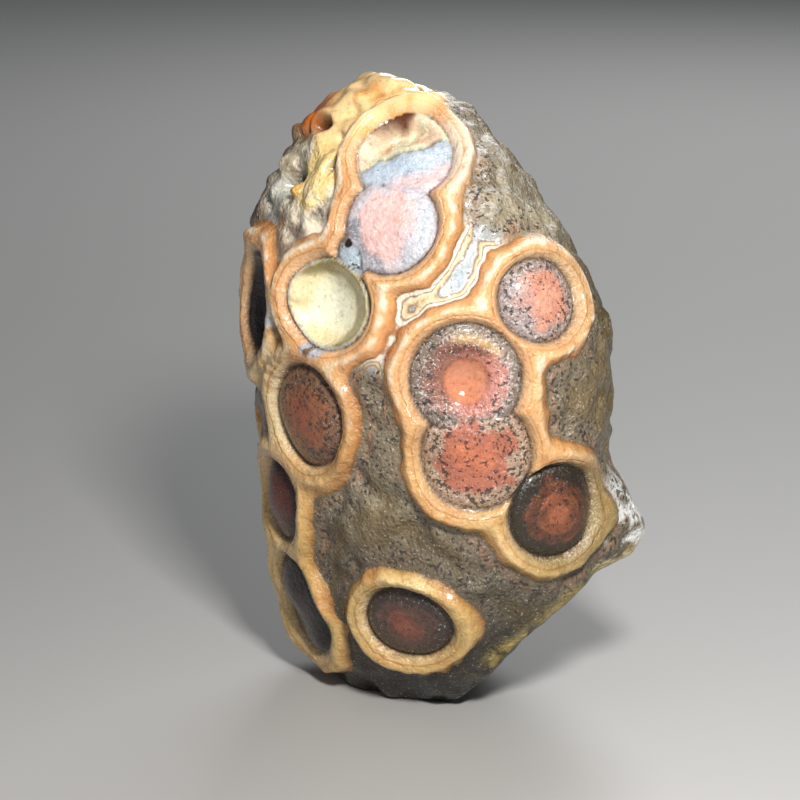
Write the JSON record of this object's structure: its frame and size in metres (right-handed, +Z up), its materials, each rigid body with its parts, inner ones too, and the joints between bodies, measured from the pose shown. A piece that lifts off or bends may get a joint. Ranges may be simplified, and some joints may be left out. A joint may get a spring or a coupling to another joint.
{
  "type": "eye agate",
  "caption": "Upright natural agate pebble with round eyes ringed by raised bands, a broken crown eye, a small cup hollow and a blunt spur, resting on a small worn foot.",
  "frame": {"origin": "on the ground, under the middle of the stone's bounding box", "axes": "+Z up along the stone's length, -Y the side with the most eyes, +X to the right seen from there"},
  "size_m": [0.0244, 0.0218, 0.0373],
  "materials": {
    "stone": "satin"
  },
  "bodies": {
    "root": {"agate_stone": "stone"}
  },
  "joints": []
}
